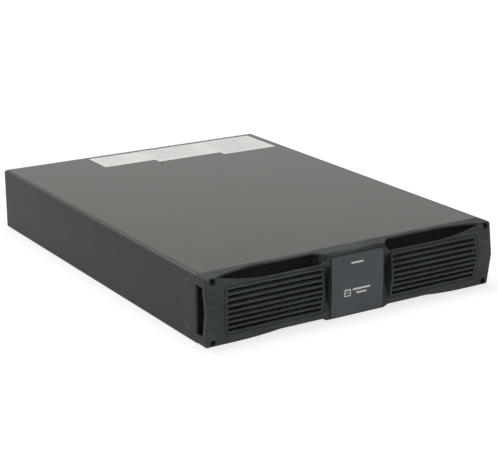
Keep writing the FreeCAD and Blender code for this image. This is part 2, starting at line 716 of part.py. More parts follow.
def make_inner_walls():
    side = f"({INSIDE} - fit_gap)"
    # Front door behind the moulding
    wide = f"({HOLLOW_HALF} - fit_gap)"
    door = block("door_plate", (f"-{wide}", wide), (f"({FRONT} - steel)", FRONT),
                 (f"({HOLLOW_FLOOR} + fit_gap)", f"({HOLLOW_ROOF} - fit_gap)"))
    reach = (f"({FRONT} - 2 * steel)", behind("steel"))
    holes = [rod(f"door_well_{index}", WELL_HOLE, "y", reach, spot) for index, spot in enumerate(WELLS)]
    holes += [rod(f"door_hole_{index}", SMALL_HOLE, "y", reach, spot)
              for index, spot in enumerate(DOOR_SCREWS)]
    keep("battery_door", carve("door", door, holes))

    # Wall between the batteries and the rear bay, with a flange at each side and one on top
    near, far = BULKHEAD, f"({BULKHEAD} + bulkhead_flange)"
    roof = "(case_height - case_corner - fit_gap)"
    walls = [block("bulkhead_plate", (f"-{side}", side), (near, f"({near} + steel)"), ("steel", roof)),
             block("bulkhead_neck", ("-bulkhead_flange", "bulkhead_flange"), (near, f"({near} + steel)"),
                   (f"({roof} - steel)", COVER_UNDER)),
             block("bulkhead_top", ("-bulkhead_flange", "bulkhead_flange"), (near, far),
                   (f"({COVER_UNDER} - steel)", COVER_UNDER))]
    for sign, name in ((1, "right"), (-1, "left")):
        across = mirrored(sign, f"{side} - steel", side)
        walls.append(block(f"bulkhead_{name}", across, (near, far), ("steel", roof)))
    sides, top = sunk_places("bulkhead_sunk", THROUGH_ALL)
    cuts = sides + [top]
    for sign, name in ((1, "right"), (-1, "left")):
        reach = "(plug_width / 2 + fit_gap)"
        across = mirrored(sign, f"{CHANNEL} - {reach}", f"{CHANNEL} + {reach}")
        cuts.append(block(f"bulkhead_window_{name}", across, (f"({near} - steel)", far),
                          (f"({PLUG_LOW} - fit_gap)", f"({PLUG_HIGH} + fit_gap)")))
    keep("rear_bulkhead", carve("bulkhead", join("bulkhead_walls", walls), cuts))

    keep("centre_divider", block("divider", ("-steel / 2", "steel / 2"), (behind("steel"), near),
                                 ("steel", f"({LEDGE_UNDER} - sheet_thick)")))
    wide = f"({HALF} - seam_inset - fit_gap)"
    keep("insulation_sheet", block("insulation", (f"-{wide}", wide),
                                   (behind("2 * steel"), f"({near} - fit_gap)"),
                                   (f"({LEDGE_UNDER} - sheet_thick)", LEDGE_UNDER)))

    # Rear panel with a foot that is screwed to the case's floor
    outer, inner = f"({BACK} - steel)", f"({BACK} - 2 * steel)"
    panel = join("panel_walls", [
        block("rear_plate", (f"-{side}", side), (inner, outer), ("steel", roof)),
        block("rear_foot", (f"-{side}", side), (f"({BACK} - bulkhead_flange)", outer),
              ("steel", "2 * steel"))])
    through = (f"({BACK} - 3 * steel)", f"({BACK} + overrun)")
    cuts = [rod(f"rear_lip_{index}", SMALL_HOLE, "y", through, spot) for index, spot in enumerate(LIP_SCREWS)]
    cuts += foot_places("rear", THROUGH_ALL)
    cuts.append(rod("rear_stud", "((stud_shank + thread_clearance) / 2)", "y", through, STUD))
    for index, x in enumerate(SOCKETS):
        cuts.append(window(f"rear_socket_{index}", x, "socket_width", "socket_height", through))
    cuts.append(window("rear_breaker", BREAKER_X, "breaker_face_width", "breaker_face_height", through))
    for index in range(int(size("vent_count"))):
        x = f"(vent_start + {index} * vent_pitch)"
        cuts.append(block(f"rear_vent_{index}", (x, f"({x} + vent_width)"), through,
                          (f"({REAR_LEVEL} - vent_height / 2)", f"({REAR_LEVEL} + vent_height / 2)")))
    keep("rear_panel", carve("panel_rear", panel, cuts))


def make_labels():
    rear = f"({BACK} - label_rear_margin)"
    spans = (("left", "label_left_start", "label_split_one"),
             ("middle", "(label_split_one + label_gap)", "label_split_two"),
             ("right", "(label_split_two + label_gap)", f"({HALF} - label_side_margin)"))
    for name, low, high in spans:
        keep(f"label_{name}", block(f"{name}_label", (low, high), (f"({rear} - label_{name}_length)", rear),
                                    ("case_height", "(case_height + label_thick)")))


# Where the drawers and batteries lie, measured from the middle
DRAWER_INNER = "(steel / 2 + divider_gap)"
DRAWER_OUTER = f"({INSIDE} - front_flange - drawer_side_gap)"
DRAWER_WIDTH = f"({DRAWER_OUTER} - {DRAWER_INNER})"
CHANNEL = f"({DRAWER_INNER} + {DRAWER_WIDTH} / 2)"
CELL_WIDTH = f"(({DRAWER_WIDTH} - channel_width) / 2 - tray_wall - battery_gap)"
CELL_FRONT = behind("tray_start + tray_wall + battery_gap")
DRAWER_END = f"({BULKHEAD} - drawer_end_gap)"
CELL_STEP = f"(({DRAWER_END} - tray_wall - {CELL_FRONT}) / row_count)"
CELL_LENGTH = f"({CELL_STEP} - battery_gap)"
CELL_FLOOR = "(steel + tray_wall)"
CELL_TOP = f"({LEDGE_UNDER} - sheet_thick - battery_headroom)"
TAB_Z = f"({CELL_TOP} - tab_inset)"
PLUG_LOW = f"({TAB_Z} - plug_height / 2 + tab_thick / 2)"
PLUG_HIGH = f"({PLUG_LOW} + plug_height)"
COLUMNS = (("near", f"({DRAWER_INNER} + tray_wall + battery_gap)", 1),
           ("far", f"({DRAWER_OUTER} - tray_wall - battery_gap - {CELL_WIDTH})", -1))


def tab_span(start, way):
    """The two terminals of a column reach from the batteries towards the channel between them."""
    face = f"({start} + {CELL_WIDTH})" if way > 0 else start
    return (face, f"({face} + tab_height)") if way > 0 else (f"({face} - tab_height)", face)


def make_batteries():
    number = 0
    rows = int(size("row_count"))
    for sign, side in ((-1, "left"), (1, "right")):
        links = []
        for column, start, way in COLUMNS:
            low, high = tab_span(start, way)
            link = (high, f"({high} + link_thick)") if way > 0 else (f"({low} - link_thick)", low)
            across = mirrored(sign, start, f"{start} + {CELL_WIDTH}")
            for row in range(rows):
                number += 1
                name = f"battery_{number}"
                front = f"({CELL_FRONT} + {row} * {CELL_STEP})"
                back = f"({front} + {CELL_LENGTH})"
                case = prism(f"{name}_case", "x", across,
                             [(front, CELL_FLOOR), (back, CELL_FLOOR),
                              (back, CELL_TOP), (front, CELL_TOP)], None,
                             [("battery_corner", along("x"))])
                ends = (f"({front} + tab_inset)", f"({back} - tab_inset - tab_width)")
                tabs = [block(f"{name}_tab_{end}", mirrored(sign, low, high), (y, f"({y} + tab_width)"),
                              (TAB_Z, f"({TAB_Z} + tab_thick)"))
                        for end, y in enumerate(ends)]
                keep(name, join(f"{name}_whole", [case, *tabs]))
                # A link joins this battery to the next one, or the last one to the plug
                ahead = f"({back} + battery_gap + tab_inset + tab_width)"
                until = ahead if row < rows - 1 else PLUG_FRONT
                links.append(block(f"{side}_{column}_link_{row}", mirrored(sign, *link),
                                   (ends[1], until), (TAB_Z, f"({TAB_Z} + tab_thick)")))
        near_tip = f"({COLUMNS[0][1]} + {CELL_WIDTH} + tab_height)"
        far_tip = f"({COLUMNS[1][1]} - tab_height)"
        first = f"({CELL_FRONT} + tab_inset)"
        links.append(block(f"{side}_cross_link", mirrored(sign, near_tip, far_tip),
                           (first, f"({first} + tab_width)"), (TAB_Z, f"({TAB_Z} + tab_thick)")))
        keep(f"string_links_{side}", group(f"{side}_links", links))

        begin = behind("tray_start")
        outer = block(f"{side}_drawer_box", mirrored(sign, DRAWER_INNER, DRAWER_OUTER), (begin, DRAWER_END),
                      ("steel", f"({CELL_TOP} - tray_drop)"))
        across = mirrored(sign, f"{DRAWER_INNER} + tray_wall", f"{DRAWER_OUTER} - tray_wall")
        inner = block(f"{side}_drawer_room", across,
                      (f"({begin} + tray_wall)", f"({DRAWER_END} - tray_wall)"), (CELL_FLOOR, "case_height"))
        plug_x = mirrored(sign, f"{CHANNEL} - plug_width / 2", f"{CHANNEL} + plug_width / 2")
        notch = block(f"{side}_drawer_notch", plug_x,
                      (f"({DRAWER_END} - 2 * tray_wall)", f"({DRAWER_END} + overrun)"),
                      (PLUG_LOW, "case_height"))
        keep(f"battery_drawer_{side}", carve(f"{side}_drawer", outer, [inner, notch]))
        keep(f"string_plug_{side}", block(f"{side}_plug", plug_x, (PLUG_FRONT, PLUG_END),
                                          (PLUG_LOW, PLUG_HIGH)))

        # Strap that the drawer is pulled out by
        reach = mirrored(sign, f"{CHANNEL} - strap_width / 2", f"{CHANNEL} + strap_width / 2")
        half = "(strap_width / 2 - strap_thick)"
        room = mirrored(sign, f"{CHANNEL} - {half}", f"{CHANNEL} + {half}")
        front = f"({begin} - strap_reach)"
        strap = block(f"{side}_strap_box", reach, (front, begin), ("strap_low", "strap_low + strap_height"))
        gap = block(f"{side}_strap_gap", room, (f"({front} + strap_thick)", f"({begin} + overrun)"),
                    ("0", "case_height"))
        keep(f"pull_strap_{side}", carve(f"{side}_strap", strap, [gap]))


PLUG_FRONT = f"({DRAWER_END} - plug_inside)"
PLUG_END = f"({BULKHEAD} - plug_gap)"
REAR_LEVEL = f"({MIDDLE} - socket_sink)"
SOCKETS = ("(socket_share * case_width)", "(3 * socket_share * case_width)")
BREAKER_X = "(-breaker_share * case_width)"
STUD = (f"({HALF} - stud_inset)", "stud_z")
PIVOT_Y = f"({BACK} - lever_inset)"
BAR_Y = f"({BACK} - bar_inset)"
BARS = (("positive", f"({REAR_LEVEL} + blade_offset)"), ("negative", f"({REAR_LEVEL} - blade_offset)"))


def hexagon(name, width, height, start):
    """A hexagon round the earth stud, its width measured over the corners."""
    thing = doc.addObject("Part::Prism", name)
    thing.Polygon = 6
    thing.setExpression("Circumradius", bound(f"{width} / 2"))
    thing.setExpression("Height", bound(height))
    return seat(thing, STUD[0], start, STUD[1], Rotation(Vector(0, 0, 1), AXES["y"]))


def make_rear_bay():
    # Sockets that the drawers' plugs meet at the bulkhead
    mates = [block(f"mate_{side}",
                   mirrored(sign, f"{CHANNEL} - plug_width / 2", f"{CHANNEL} + plug_width / 2"),
                   (PLUG_END, f"({BULKHEAD} + mate_depth)"), (PLUG_LOW, PLUG_HIGH))
             for sign, side in ((1, "right"), (-1, "left"))]
    keep("string_sockets", group("mates", mates))

    # Power sockets: a housing with a rim outside the panel, a mouth and two blades
    wall = f"({BACK} - steel)"
    blades = []
    for index, x in enumerate(SOCKETS):
        left, right = f"({x} - socket_width / 2)", f"({x} + socket_width / 2)"
        low, high = f"({REAR_LEVEL} - socket_height / 2)", f"({REAR_LEVEL} + socket_height / 2)"
        tip = f"({BACK} + socket_reach)"
        body = block(f"socket_body_{index}", (left, right), (f"({BAR_Y} + bar_thick)", tip), (low, high))
        rim = block(f"socket_rim_{index}", (f"({left} - socket_rim)", f"({right} + socket_rim)"),
                    (wall, f"({wall} + socket_rim)"), (f"({low} - socket_rim)", f"({high} + socket_rim)"))
        mouth = block(f"socket_mouth_{index}", (f"({left} + socket_wall)", f"({right} - socket_wall)"),
                      (f"({tip} - socket_depth)", f"({tip} + overrun)"),
                      (f"({low} + socket_wall)", f"({high} - socket_wall)"))
        cuts = [mouth]
        for pole, level in BARS:
            spot = (f"({x} - blade_width / 2)", f"({x} + blade_width / 2)")
            rise = (f"({level} - blade_thick / 2)", f"({level} + blade_thick / 2)")
            blades.append(block(f"blade_{index}_{pole}", spot,
                                (f"({BAR_Y} + bar_thick)", f"({tip} - socket_wall)"), rise))
            cuts.append(block(f"blade_slot_{index}_{pole}", spot, (BAR_Y, tip), rise))
        whole = join(f"socket_solid_{index}", [body, rim])
        keep(f"power_socket_{index + 1}", carve(f"socket_{index}", whole, cuts))
    keep("socket_blades", group("blades", blades))
    for pole, level in BARS:
        across = (f"({BREAKER_X} + breaker_width / 2)", f"({SOCKETS[1]} + socket_width / 2)")
        rise = (f"({level} - bar_height / 2)", f"({level} + bar_height / 2)")
        keep(f"{pole}_busbar", block(f"{pole}_bar", across, (BAR_Y, f"({BAR_Y} + bar_thick)"), rise))

    # Fuse holders stand on the floor behind the bulkhead
    bases, fuses = [], []
    for index, sign in enumerate((-1, 1)):
        middle = f"({sign} * {CHANNEL})"
        front = f"({BULKHEAD} + bulkhead_flange + fuse_gap)"
        back = f"({front} + fuse_base_depth)"
        left, right = f"({middle} - fuse_base_length / 2)", f"({middle} + fuse_base_length / 2)"
        beyond = (f"({left} - overrun)", f"({right} + overrun)")
        base = block(f"fuse_base_{index}", (left, right), (front, back),
                     ("steel", "steel + fuse_base_height"))
        axle = (f"(({front} + {back}) / 2)", "(steel + fuse_base_height)")
        trough = rod(f"fuse_trough_{index}", "(fuse_width / 2 + fit_gap)", "x", beyond, axle)
        bases.append(carve(f"fuse_holder_{index}", base, [trough]))
        fuses.append(rod(f"fuse_{index}", "fuse_width / 2", "x",
                         (f"({left} + fit_gap)", f"({right} - fit_gap)"), axle))
    keep("fuse_holders", group("fuse_bases", bases))
    keep("fuses", group("fuse_set", fuses))

    # Earth stud: its collar lies against the panel and a nut holds its shank from inside
    outer_end = f"({wall} + stud_collar + stud_length)"
    pin = rod("stud_pin", "stud_width / 2", "y", (wall, outer_end), STUD)
    shank = rod("stud_shank_rod", "stud_shank / 2", "y", (f"({wall} - stud_grip)", wall), STUD)
    collar = hexagon("stud_collar_hexagon", "stud_hexagon", "stud_collar", wall)
    keep("ground_stud", join("stud", [pin, shank, collar]))
    inner = f"({BACK} - 2 * steel)"
    nut = hexagon("stud_nut_hexagon", "stud_nut", "stud_nut_height", f"({inner} - stud_nut_height)")
    bore = rod("stud_nut_bore", "((stud_shank + thread_clearance) / 2)", "y",
               (f"({inner} - stud_nut_height - overrun)", BACK), STUD)
    keep("ground_nut", carve("stud_nut_cut", nut, [bore]))


def make_breaker():
    half = "(breaker_width / 2)"
    face = "(breaker_face_width / 2)"
    inner = f"({BACK} - 2 * steel)"
    front = f"({BACK} + breaker_proud)"
    body = block("breaker_box", (f"({BREAKER_X} - {half})", f"({BREAKER_X} + {half})"),
                 (f"({inner} - breaker_depth)", inner),
                 (f"({REAR_LEVEL} - breaker_height / 2)", f"({REAR_LEVEL} + breaker_height / 2)"))
    nose = block("breaker_nose", (f"({BREAKER_X} - {face})", f"({BREAKER_X} + {face})"),
                 (f"({inner} - steel)", front),
                 (f"({REAR_LEVEL} - breaker_face_height / 2)", f"({REAR_LEVEL} + breaker_face_height / 2)"))
    room = "(lever_width / 2 + fit_gap)"
    span = (f"({BREAKER_X} - {room})", f"({BREAKER_X} + {room})")
    pivot = (PIVOT_Y, REAR_LEVEL)
    well = rod("lever_well", "(lever_hub / 2 + lever_gap)", "x", span, pivot)
    gate = block("lever_gate", span, (PIVOT_Y, f"({front} + overrun)"),
                 (f"({REAR_LEVEL} - lever_gate)", f"({REAR_LEVEL} + lever_gate)"))
    pin_span = (f"({BREAKER_X} - {face} + steel)", f"({BREAKER_X} + {face} - steel)")
    pin_hole = rod("breaker_pin_hole", "(pin_width / 2 + pin_clearance)", "x", pin_span, pivot)
    keep("breaker_body", carve("breaker", join("breaker_solid", [body, nose]), [well, gate, pin_hole]))
    keep("breaker_pin", rod("pin", "pin_width / 2", "x", pin_span, pivot))

    # The lever at rest points up and out by its half swing
    angle = "lever_swing / 2"
    length = f"((rear_reach + lever_inset - lever_thick / 2 * sin({angle})) / cos({angle}))"
    corners = []
    for out, up in ((0, 1), (1, 1), (1, -1), (0, -1)):
        reach = f"({out} * {length})"
        corners.append((f"({PIVOT_Y} + {reach} * cos({angle}) - {up} * lever_thick / 2 * sin({angle}))",
                        f"({REAR_LEVEL} + {reach} * sin({angle}) + {up} * lever_thick / 2 * cos({angle}))"))
    wide = (f"({BREAKER_X} - lever_width / 2)", f"({BREAKER_X} + lever_width / 2)")
    handle = prism("lever_handle", "x", wide, corners)
    hub = rod("lever_hub_rod", "lever_hub / 2", "x", wide, pivot)
    beyond = (f"({wide[0]} - overrun)", f"({wide[1]} + overrun)")
    bore = rod("lever_bore", "(pin_width / 2 + pin_clearance)", "x", beyond, pivot)
    keep("breaker_lever", carve("lever", join("lever_solid", [handle, hub]), [bore]))


def make_screws():
    head, shank = "(bolt_head / 2)", "(thread_four / 2)"
    steps = [(head, head, "bolt_head_height"), (shank, shank, "(well_floor + bolt_grip)")]
    start = f"({FRONT} - well_floor - bolt_head_height)"
    keep("bezel_screws", group("bezel_bolts", [
        spindle(f"bezel_bolt_{index}", "y", 1, start, steps, spot) for index, spot in enumerate(WELLS)]))
    start = f"({FRONT} - steel - pan_height)"
    keep("door_screws", group("door_bolts", [
        spindle(f"door_bolt_{index}", "y", 1, start, PAN_SCREW, spot)
        for index, spot in enumerate(DOOR_SCREWS)]))
    sides, top = sunk_places("bulkhead_bolt", SUNK_SCREW)
    keep("bulkhead_screws", group("bulkhead_bolts", [*sides, top]))
    keep("rear_panel_screws", group("rear_bolts", foot_places("rear_bolt", SUNK_SCREW)))
    start = f"({BACK} + pan_height)"
    keep("cover_screws", group("cover_bolts", [
        spindle(f"cover_bolt_{index}", "y", -1, start, PAN_SCREW, spot)
        for index, spot in enumerate(LIP_SCREWS)]))
    barrel_steps = [("nut_pilot / 2", "nut_pilot / 2", "steel"),
                    ("nut_width / 2", "nut_width / 2", "nut_length")]
    core = "thread_four_core / 2"
    nuts = []
    for index, (sign, spot) in enumerate(EAR_HOLES):
        side = f"({sign} * {HALF})"
        barrel = spindle(f"ear_nut_{index}", "x", -sign, side, barrel_steps, spot)
        bore = spindle(f"ear_bore_{index}", "x", -sign, side,
                       [(core, core, "(nut_length + 2 * steel)")], spot)
        nuts.append(carve(f"ear_insert_{index}", barrel, [bore]))
    keep("ear_inserts", group("ear_nuts", nuts))


for make in (make_bezel, make_grilles, make_centre_panel, make_case, make_inner_walls, make_labels,
             make_batteries, make_rear_bay, make_breaker, make_screws):
    make()
doc.recompute()

for thing in doc.Objects:
    if "Invalid" in thing.State or "Error" in thing.State:
        raise RuntimeError(f"{thing.Name} failed: {thing.State}")
os.makedirs("parts", exist_ok=True)
for label, thing in PIECES.items():
    shape = thing.Shape
    if shape.isNull() or not shape.isValid():
        raise RuntimeError(f"{label} has no valid shape")
    shape.exportStep(f"parts/{label}.step")
print(len(PIECES), "sub-parts, body front at y =", size(FRONT), "back at y =", size(BACK))
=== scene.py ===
# %% [markdown]
# This lesson dresses a rack battery pack for an uninterruptible power supply. The steel case, the
# moulded front and the back come as fixed solids. Here they get their finishes, and the small
# things that a solid model leaves plain: printed marks and the drives of the screws.

# %% Load the frame
import json
import math

import bpy
from mathutils import Euler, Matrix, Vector


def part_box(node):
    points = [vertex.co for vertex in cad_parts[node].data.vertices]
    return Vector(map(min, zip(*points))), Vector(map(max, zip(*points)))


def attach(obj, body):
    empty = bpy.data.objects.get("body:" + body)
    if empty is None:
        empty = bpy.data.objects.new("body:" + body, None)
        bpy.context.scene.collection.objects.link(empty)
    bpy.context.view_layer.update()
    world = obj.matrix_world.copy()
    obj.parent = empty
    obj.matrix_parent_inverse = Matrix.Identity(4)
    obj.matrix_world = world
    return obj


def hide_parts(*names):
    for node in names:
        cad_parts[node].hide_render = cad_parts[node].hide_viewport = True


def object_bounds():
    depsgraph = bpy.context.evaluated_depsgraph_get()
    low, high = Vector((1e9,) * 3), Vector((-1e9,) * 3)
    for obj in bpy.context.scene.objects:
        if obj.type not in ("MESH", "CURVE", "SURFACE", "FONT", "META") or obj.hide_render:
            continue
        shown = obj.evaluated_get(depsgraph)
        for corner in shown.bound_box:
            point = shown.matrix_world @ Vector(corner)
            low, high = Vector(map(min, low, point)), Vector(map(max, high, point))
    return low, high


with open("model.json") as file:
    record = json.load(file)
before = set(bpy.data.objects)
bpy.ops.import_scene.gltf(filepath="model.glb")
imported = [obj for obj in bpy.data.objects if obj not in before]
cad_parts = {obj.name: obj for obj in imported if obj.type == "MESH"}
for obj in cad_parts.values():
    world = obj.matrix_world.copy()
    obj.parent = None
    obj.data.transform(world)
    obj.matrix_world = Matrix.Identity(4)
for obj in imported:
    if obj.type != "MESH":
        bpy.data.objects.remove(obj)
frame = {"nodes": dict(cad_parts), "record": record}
cad_low, cad_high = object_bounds()
nodes = frame["nodes"]
print("CAD box", tuple(cad_low), tuple(cad_high))

# %% [markdown]
# The camera stands where the photograph's edges meet when they are drawn back: about two metres
# from the pack, to its left and above it. Its focal length is worked out from pixels, for a
# picture 498 wide. Operators act on whatever is selected, and the loaded solids arrive selected,
# so every new thing starts from an empty selection.

# %% Camera
PICTURE_WIDTH = 498
FOCAL_PIXELS = 1445.1
SENSOR = 36.0
CAMERA_PLACE = Vector((-1.0286, -1.6836, 0.6459))
CAMERA_AZIMUTH = math.radians(-32.16)
CAMERA_ELEVATION = math.radians(17.52)
CAMERA_ROLL = math.radians(-0.13)
NEAREST, FARTHEST = 0.05, 50


def deselect():
    if bpy.context.object and bpy.context.object.mode != "OBJECT":
        bpy.ops.object.mode_set(mode="OBJECT")
    bpy.ops.object.select_all(action="DESELECT")


deselect()
bpy.ops.object.camera_add(location=CAMERA_PLACE)
camera = bpy.context.object
camera.name = "Camera"
camera.data.sensor_width = SENSOR
camera.data.lens = FOCAL_PIXELS * SENSOR / PICTURE_WIDTH
camera.data.clip_start, camera.data.clip_end = NEAREST, FARTHEST
level_part = math.cos(CAMERA_ELEVATION)
backwards = Vector((math.sin(CAMERA_AZIMUTH) * level_part,
                    -math.cos(CAMERA_AZIMUTH) * level_part,
                    math.sin(CAMERA_ELEVATION)))
look = (-backwards).to_track_quat("-Z", "Y").to_matrix()
camera.rotation_euler = (look @ Euler((0, 0, CAMERA_ROLL)).to_matrix()).to_euler()
bpy.context.scene.camera = camera
print("lens", round(camera.data.lens, 2), "mm")

# %% [markdown]
# A finish is a small network of nodes. One function adds a node with its settings and its links,
# and one turns colours from hex values, as a painter's card gives them, to linear light. Both are
# short, so each finish below can be read from its first node to its last.


# %% Material helpers
def linear(code):
    """An sRGB hex colour as linear red, green and blue, with full alpha."""
    parts = [int(code[i:i + 2], 16) / 255 for i in (0, 2, 4)]
    light = [c / 12.92 if c <= 0.04045 else ((c + 0.055) / 1.055) ** 2.4 for c in parts]
    return tuple(light) + (1.0,)


def add(tree, kind, settings=None, links=None, **properties):
    """Add a node. settings sets its inputs, links joins an input to another node's output."""
    node = tree.nodes.new(kind)
    for key, value in properties.items():
        setattr(node, key, value)
    for key, value in (settings or {}).items():
        node.inputs[key].default_value = value
    for key, (source, output) in (links or {}).items():
        tree.links.new(source.outputs[output], node.inputs[key])
    return node


def start(name):
    """A new material with its tree and its object coordinates, which are in metres."""
    material = bpy.data.materials.new(name)
    material.use_nodes = True
    tree = material.node_tree
    tree.nodes.clear()
    return material, tree, add(tree, "ShaderNodeTexCoord")


print("a mid grey, 808080, is", round(linear("808080")[0], 3), "in linear light")

# %% [markdown]
# Most skins of such a pack differ in the same few ways: the size and depth of their grain, and a
# slow drift of tone and gloss, because no sheet or moulding is quite even. One function draws them
# all from sizes in millimetres. Most of a noise pattern lies between 0.3 and 0.7, so tone and
# roughness are spread over that part. Powder coat is the first: a baked polymer film on folded
# sheet, which flows out almost flat, with a faint orange peel about a millimetre across.

# %% Powder coat
MM = 0.001
PATTERN = (0.3, 0.7)
TONE = (0.35, 0.65)
FINE_DETAIL, SLOW_DETAIL = 3.0, 2.0


def grained(name, dark, light, grain_mm, depth_mm, rough, drift_mm=60, stretch=(1, 1, 1),
            **settings):
    """A finish with a fine grain of real depth and a slow drift of tone and roughness.

    stretch below one makes the pattern longer along that axis. settings holds the shader's
    plain values.
    """
    material, tree, place = start(name)
    scaled = add(tree, "ShaderNodeMapping", {"Scale": stretch}, {"Vector": (place, "Object")})
    fine = add(tree, "ShaderNodeTexNoise", {"Scale": 1 / (grain_mm * MM), "Detail": FINE_DETAIL},
               {"Vector": (scaled, "Vector")})
    slow = add(tree, "ShaderNodeTexNoise", {"Scale": 1 / (drift_mm * MM), "Detail": SLOW_DETAIL},
               {"Vector": (scaled, "Vector")})
    colour = add(tree, "ShaderNodeValToRGB", links={"Fac": (slow, "Fac")})
    for stop, position, code in zip(colour.color_ramp.elements, TONE, (dark, light)):
        stop.position, stop.color = position, linear(code)
    gloss = add(tree, "ShaderNodeMapRange",
                {"From Min": PATTERN[0], "From Max": PATTERN[1],
                 "To Min": rough[0], "To Max": rough[1]}, {"Value": (slow, "Fac")})
    bump = add(tree, "ShaderNodeBump", {"Strength": 1.0, "Distance": depth_mm * MM},
               {"Height": (fine, "Fac")})
    shader = add(tree, "ShaderNodeBsdfPrincipled",
                 {key.replace("_", " "): value for key, value in settings.items()},
                 {"Base Color": (colour, "Color"), "Roughness": (gloss, "Result"),
                  "Normal": (bump, "Normal")})
    add(tree, "ShaderNodeOutputMaterial", links={"Surface": (shader, "BSDF")})
    return material


# Polyester powder, sprayed dry and baked: a dark warm grey whose weak sheen shows at low angles.
POWDER_COAT = grained("satin charcoal powder coat", "575853", "5a5b56", 1.1, 0.008, (0.23, 0.27),
                      Specular_IOR_Level=0.06)
print("made", POWDER_COAT.name)

# %% [markdown]
# The front is ABS from a mould whose steel was ground along its length. The grinding marks print
# as streaks about a millimetre high that run from side to side, over a fine spark-eroded grain.
# Two bumps in a row give both reliefs, and the tone follows the streaks and a slow unevenness.

# %% Moulded front
STREAK_MM, GRAIN_MM, UNEVEN_MM = 1.1, 0.3, 45
STREAK_STRETCH = (0.06, 1, 1)
STREAK_DEPTH, GRAIN_DEPTH = 0.05 * MM, 0.02 * MM
SLOW_SHARE = 0.35
MOULD_TONE = (0.40, 0.60)
MOULD_ROUGH = (0.52, 0.62)


def ground_mould(name, dark, light):
    """Moulded plastic with the print of a ground mould."""
    material, tree, place = start(name)
    along = add(tree, "ShaderNodeMapping", {"Scale": STREAK_STRETCH},
                {"Vector": (place, "Object")})
    streaks = add(tree, "ShaderNodeTexNoise",
                  {"Scale": 1 / (STREAK_MM * MM), "Detail": FINE_DETAIL},
                  {"Vector": (along, "Vector")})
    grain = add(tree, "ShaderNodeTexNoise", {"Scale": 1 / (GRAIN_MM * MM), "Detail": SLOW_DETAIL},
                {"Vector": (place, "Object")})
    slow = add(tree, "ShaderNodeTexNoise", {"Scale": 1 / (UNEVEN_MM * MM), "Detail": SLOW_DETAIL},
               {"Vector": (place, "Object")})
    uneven = add(tree, "ShaderNodeMath", {1: SLOW_SHARE}, {0: (slow, "Fac")},
                 operation="MULTIPLY")
    tone = add(tree, "ShaderNodeMath", {1: 1 - SLOW_SHARE},
               {0: (streaks, "Fac"), 2: (uneven, "Value")}, operation="MULTIPLY_ADD")
    colour = add(tree, "ShaderNodeValToRGB", links={"Fac": (tone, "Value")})
    for stop, position, code in zip(colour.color_ramp.elements, MOULD_TONE, (dark, light)):
        stop.position, stop.color = position, linear(code)
    gloss = add(tree, "ShaderNodeMapRange",
                {"From Min": PATTERN[0], "From Max": PATTERN[1],
                 "To Min": MOULD_ROUGH[0], "To Max": MOULD_ROUGH[1]}, {"Value": (streaks, "Fac")})
    relief = add(tree, "ShaderNodeBump", {"Strength": 1.0, "Distance": STREAK_DEPTH},
                 {"Height": (streaks, "Fac")})
    skin = add(tree, "ShaderNodeBump", {"Strength": 1.0, "Distance": GRAIN_DEPTH},
               {"Height": (grain, "Fac"), "Normal": (relief, "Normal")})
    shader = add(tree, "ShaderNodeBsdfPrincipled", {"Specular IOR Level": 0.36},
                 {"Base Color": (colour, "Color"), "Roughness": (gloss, "Result"),
                  "Normal": (skin, "Normal")})
    add(tree, "ShaderNodeOutputMaterial", links={"Surface": (shader, "BSDF")})
    return material


# ABS from the ground mould: charcoal, with light and dark streaks a millimetre high.
GROUND_ABS = ground_mould("charcoal ABS from a ground mould", "181d1d", "3d4444")
print("made", GROUND_ABS.name)

# %% [markdown]
# The other plastics come from blasted or spark-eroded moulds, so they show an even grain. The
# finest grains, here and in the cells that follow, are drawn at 0.15 to 0.5 mm, coarser than they
# are, because a real one would not show at all.

# %% Plastics
# ABS from a finely blasted mould: a smooth, slightly cool face with a soft sheen.
SATIN_ABS = grained("satin blue-grey ABS", "3c4348", "444b50", 0.5, 0.006, (0.36, 0.42),
                    Specular_IOR_Level=0.46)
# Nylon with glass fibre, moulded: the fibres near the skin leave it mottled and dull.
NYLON = grained("black glass-filled nylon", "161616", "1e1e1f", 0.5, 0.020, (0.45, 0.55), 12)
# Thermoset polyester, pressed: a dense grey with a dry, even skin.
GREY_POLYESTER = grained("grey moulded polyester", "4a4d50", "565a5d", 0.5, 0.015,
                         (0.45, 0.55), 12)
# ABS battery cases, moulded with a coarser grain that hides scuffs.
BATTERY_ABS = grained("black battery ABS", "1b1b1d", "242426", 0.6, 0.020, (0.45, 0.55), 20)
print("made", ", ".join(made.name for made in (SATIN_ABS, NYLON, GREY_POLYESTER, BATTERY_ABS)))

# %% [markdown]
# Bare metals show how they were rolled, plated or dipped. Their colour is that of their
# reflection, so they are fully metallic, and only tone, roughness and grain tell them apart. The
# blackened screws are steel under a thin dull layer that isn't metallic. The inner door gets a
# matt near black that isn't metallic: painted shade, so that the space behind the grille slots
# looks dark.

# %% Metals
# Hot-dip galvanised sheet: zinc crystals a few millimetres across differ in tone and gloss.
GALVANISED = grained("galvanised sheet", "8a8d8f", "a9acae", 6, 0.004, (0.34, 0.50), 14,
                     Metallic=1.0)
# Zinc electroplate with a chromate dip, for the pressed-in nuts: a dull dark grey.
DARK_ZINC = grained("dark chromated zinc", "5a5b58", "6c6d69", 0.3, 0.004, (0.34, 0.42), 3,
                    Metallic=1.0)
# Zinc electroplate on turned and pressed parts: bright, with a fine even haze.
ZINC = grained("bright zinc plate", "a6a8a4", "c2c3be", 0.3, 0.004, (0.26, 0.34), 3,
               Metallic=1.0)
# Rolled copper strip, untreated: lines of rolling, and a brown bloom where air has reached it.
COPPER = grained("bare rolled copper", "8d4b2c", "b66d46", 0.2, 0.004, (0.28, 0.40), 8,
                 (0.05, 1, 1), Metallic=1.0)
# Screws blackened in an oxide bath and oiled: near black, with a low sheen.
BLACKED = grained("blackened screw steel", "131314", "1e1e1f", 0.3, 0.006, (0.35, 0.45), 3)
